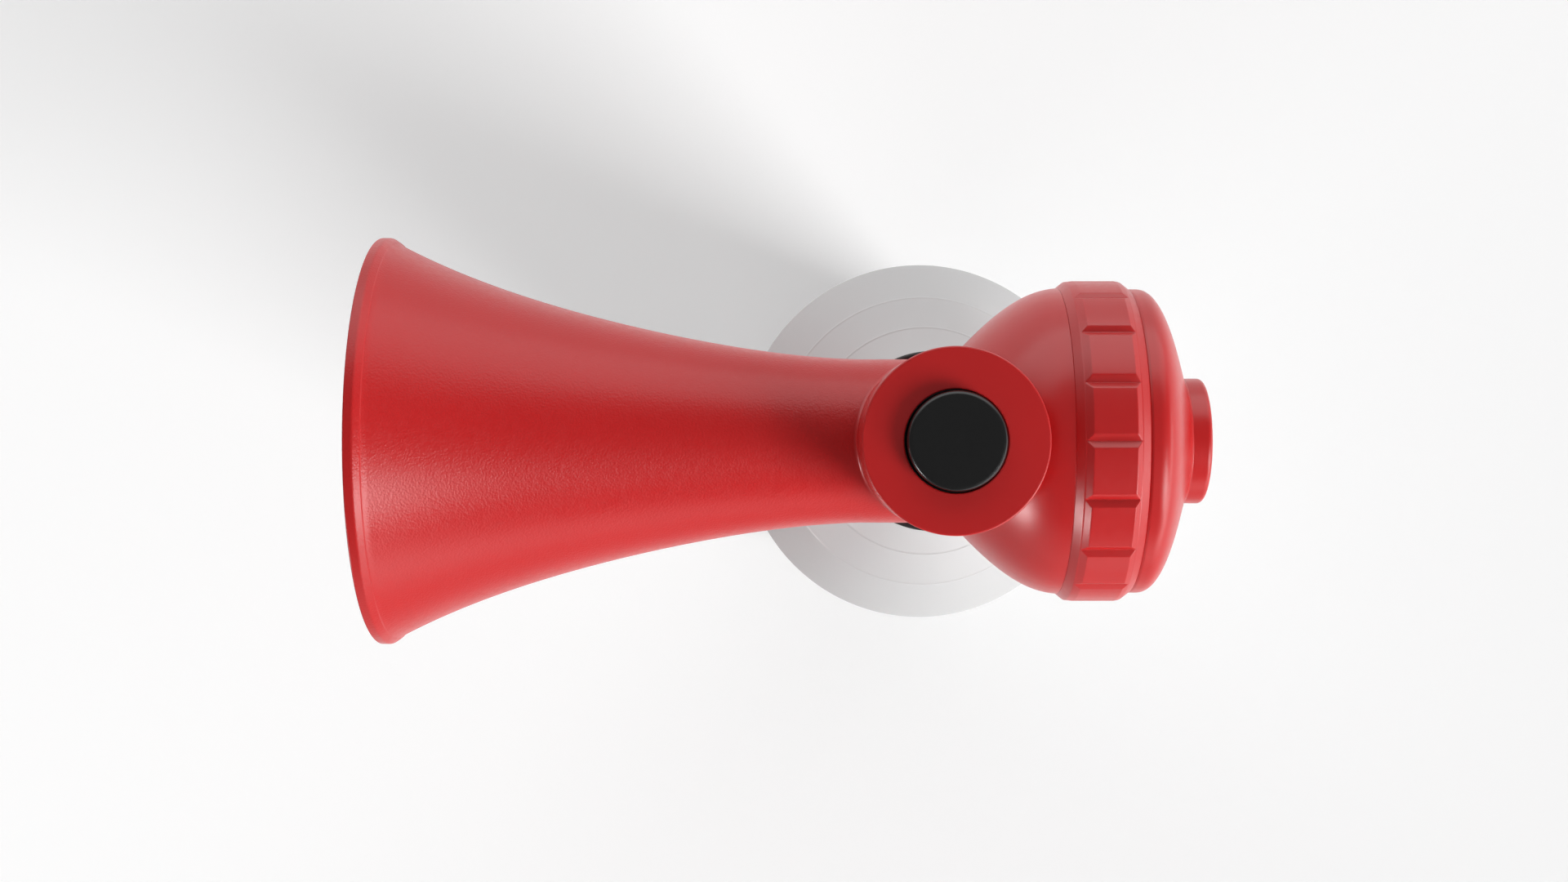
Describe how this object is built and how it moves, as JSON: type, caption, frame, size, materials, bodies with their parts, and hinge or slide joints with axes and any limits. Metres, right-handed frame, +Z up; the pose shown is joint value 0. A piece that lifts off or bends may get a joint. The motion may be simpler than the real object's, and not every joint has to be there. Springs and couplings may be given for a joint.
{
  "type": "handheld gas horn",
  "caption": "Hand-held signal horn: a flared bell, swivelling head with a push button and a screw-on diaphragm cap, on a round pressurised can.",
  "frame": {"origin": "on the can's axis, in the plane the can stands on", "axes": "+Z up the can towards the button; -X is the way the bell opens; Y across"},
  "size_m": [0.1302, 0.066, 0.222],
  "materials": {
    "can_lacquer": "satin light grey lacquer over drawn aluminium",
    "tinplate": "bright tinplate",
    "seal_rubber": "matte",
    "valve_plastic": "natural, slightly translucent",
    "spring_steel": "drawn wire",
    "black_plastic": "satin",
    "red_plastic": "satin moulded with a fine grain",
    "diaphragm_steel": "thin rolled sheet"
  },
  "bodies": {
    "can": {"can_body": "can_lacquer", "valve_cup": "tinplate", "cup_gasket": "seal_rubber", "valve_housing": "valve_plastic", "stem_gasket": "seal_rubber", "valve_spring": "spring_steel", "can_collar": "black_plastic"},
    "stem": {"valve_stem": "valve_plastic"},
    "head": {"head_housing": "red_plastic", "tower_lid": "red_plastic", "horn_bell": "red_plastic", "throat_tube": "black_plastic", "throat_oring": "seal_rubber", "diaphragm": "diaphragm_steel", "diaphragm_gaskets": "seal_rubber", "collar_clip": "spring_steel", "spring_saddle": "black_plastic", "return_spring": "spring_steel"},
    "plunger": {"button": "black_plastic", "plunger_yoke": "black_plastic", "stem_adapter": "valve_plastic", "adapter_orings": "seal_rubber"},
    "slip": {"slip_ring": "valve_plastic"},
    "cap": {"clamp_ring": "red_plastic", "rear_cap": "red_plastic"}
  },
  "joints": [
    {"name": "head_swivel", "type": "hinge", "parent": "can", "child": "head", "pos_m": [0, 0, 0.17], "axis": [0, 0, 1], "continuous": true},
    {"name": "button_press", "type": "slide", "parent": "head", "child": "plunger", "axis": [0, 0, -1], "range_m": [0, 0.0022], "stiffness_N_per_m": 900, "springref_m": -0.002, "deforming": ["return_spring"]},
    {"name": "stem_press", "type": "slide", "parent": "can", "child": "stem", "axis": [0, 0, -1], "range_m": [0, 0.0022], "deforming": ["valve_spring"]},
    {"name": "cap_lift", "type": "slide", "parent": "head", "child": "slip", "axis": [1, 0, 0], "range_m": [0, 0.006]},
    {"name": "cap_turn", "type": "hinge", "parent": "slip", "child": "cap", "pos_m": [0.024, 0, 0.1897], "axis": [1, 0, 0], "range_deg": [0, 720]}
  ],
  "couplings": [
    {"joint": "stem_press", "follows": "button_press", "ratio": 1},
    {"joint": "cap_lift", "follows": "cap_turn", "m_per_rad": 0.00047746}
  ]
}
